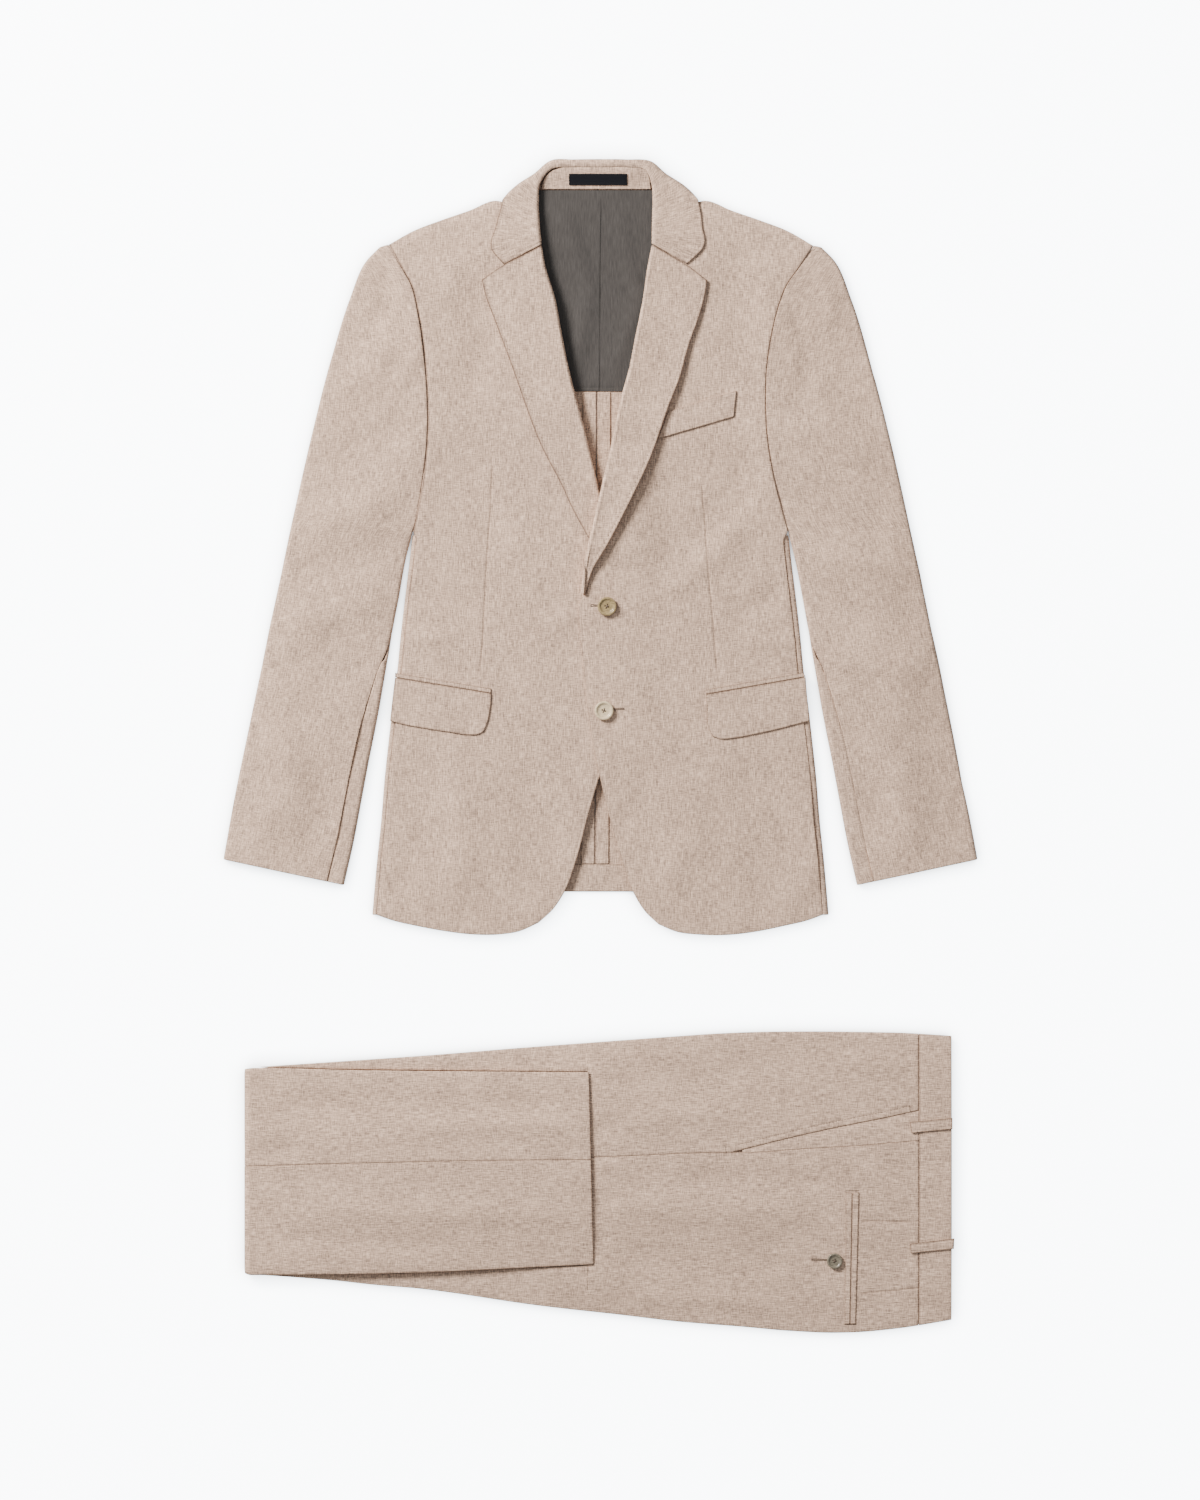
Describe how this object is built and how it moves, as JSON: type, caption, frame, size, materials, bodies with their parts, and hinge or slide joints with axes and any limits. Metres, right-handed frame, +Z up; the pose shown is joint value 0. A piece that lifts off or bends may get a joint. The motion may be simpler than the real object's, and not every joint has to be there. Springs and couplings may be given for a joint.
{
  "type": "single-breasted suit",
  "caption": "Single-breasted suit laid flat: notch-lapel jacket with flap pockets and a breast welt, above trousers folded once at the knee.",
  "frame": {"origin": "centre of the bounding box, on the surface that the garments lie on", "axes": "+X towards the wearer's left, +Y from the trousers to the jacket's collar, +Z up from the surface"},
  "size_m": [0.753, 1.1719, 0.0223],
  "materials": {
    "suiting": "light beige melange suiting, plain weave with slubs, matte",
    "lining": "dark grey smooth lining with a low sheen",
    "label": "near-black woven label, bare",
    "button_khaki": "semi-matte khaki, four holes",
    "button_pale": "semi-matte pale beige, four holes",
    "button_grey": "semi-matte grey-beige, four holes"
  },
  "bodies": {
    "root": {"back_left": "suiting", "back_right": "suiting", "back_hem": "suiting", "seam_allowance_left": "suiting", "seam_allowance_right": "suiting", "back_lining": "lining", "neck_label": "label", "collar_stand": "suiting", "collar_fall": "suiting", "left_front": "suiting", "right_front": "suiting", "left_lapel": "suiting", "right_lapel": "suiting", "left_side_panel": "suiting", "right_side_panel": "suiting", "left_top_sleeve": "suiting", "left_under_sleeve": "suiting", "right_top_sleeve": "suiting", "right_under_sleeve": "suiting", "left_flap": "suiting", "right_flap": "suiting", "left_jet": "suiting", "right_jet": "suiting", "breast_welt": "suiting", "front_button_upper": "button_khaki", "front_button_lower": "button_pale", "left_front_leg": "suiting", "left_back_leg": "suiting", "right_front_leg": "suiting", "right_back_leg": "suiting", "folded_layers": "suiting", "waistband_left": "suiting", "waistband_right": "suiting", "belt_loop_side": "suiting", "belt_loop_back": "suiting", "pocket_bearer": "suiting", "pocket_welt_upper": "suiting", "pocket_welt_lower": "suiting", "pocket_button": "button_grey"}
  },
  "joints": []
}
